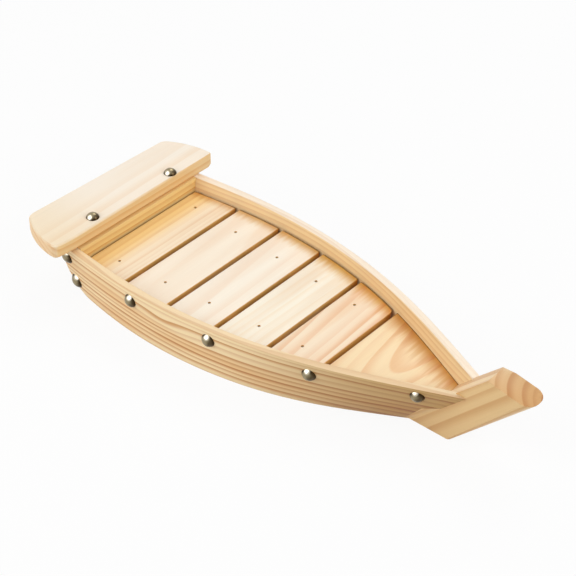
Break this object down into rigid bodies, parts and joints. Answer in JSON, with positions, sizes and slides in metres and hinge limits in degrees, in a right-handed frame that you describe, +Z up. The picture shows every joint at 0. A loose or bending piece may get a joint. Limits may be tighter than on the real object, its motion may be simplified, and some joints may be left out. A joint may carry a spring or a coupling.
{
  "type": "boat-shaped sushi serving tray",
  "caption": "Boat-shaped pine serving tray for sushi, with bent side planks, raked stem block, stern board, dome tacks and a slatted grating that lifts out.",
  "frame": {"origin": "on the table, below the middle of the tray's overall length and breadth", "axes": "+X along the tray towards the bow, +Y to port, +Z up"},
  "size_m": [0.4275, 0.1714, 0.0684],
  "materials": {
    "plank_pine": "satin",
    "stern_pine": "satin",
    "stem_pine": "satin",
    "deck_pine": "satin",
    "frame_pine": "satin",
    "tack_nickel": "polished",
    "brad_steel": "satin"
  },
  "bodies": {
    "hull": {"port_plank": "plank_pine", "starboard_plank": "plank_pine", "transom": "stern_pine", "stern_board": "stern_pine", "stem": "stem_pine", "bow_deck": "deck_pine", "transom_ledge": "frame_pine", "bearer_aft": "frame_pine", "bearer_middle": "frame_pine", "bow_bearer": "frame_pine", "stern_board_tacks": "tack_nickel", "transom_tacks": "tack_nickel", "side_tacks": "tack_nickel"},
    "grating": {"slat_1": "deck_pine", "slat_2": "deck_pine", "slat_3": "deck_pine", "slat_4": "deck_pine", "slat_5": "deck_pine", "batten_port": "frame_pine", "batten_starboard": "frame_pine", "slat_brads": "brad_steel"}
  },
  "joints": [
    {"name": "grating_lift", "type": "slide", "parent": "hull", "child": "grating", "axis": [0, 0, 1], "range_m": [0, 0.06]}
  ]
}
